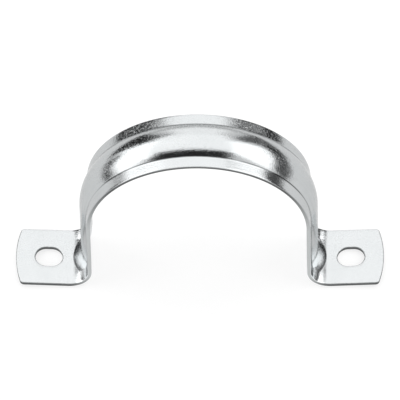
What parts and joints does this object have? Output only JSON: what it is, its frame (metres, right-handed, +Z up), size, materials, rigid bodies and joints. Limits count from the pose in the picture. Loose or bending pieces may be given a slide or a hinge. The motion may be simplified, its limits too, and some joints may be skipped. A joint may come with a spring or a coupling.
{
  "type": "omega pipe clamp",
  "caption": "Omega-shaped pipe clamp: a zinc-plated steel strap with a pressed stiffening bead, a half-round saddle and slotted feet.",
  "frame": {"origin": "centre of the footprint, on the surface that the clamp stands on, under the lowest line of both foot bends", "axes": "+X from foot to foot, +Y along the pipe, +Z up from the standing surface to the crown of the saddle"},
  "size_m": [0.1074, 0.019, 0.063],
  "materials": {
    "zinc_plated_steel": "bright zinc plate, faintly speckled, semi-gloss"
  },
  "bodies": {
    "root": {"omega_clamp": "zinc_plated_steel"}
  },
  "joints": []
}
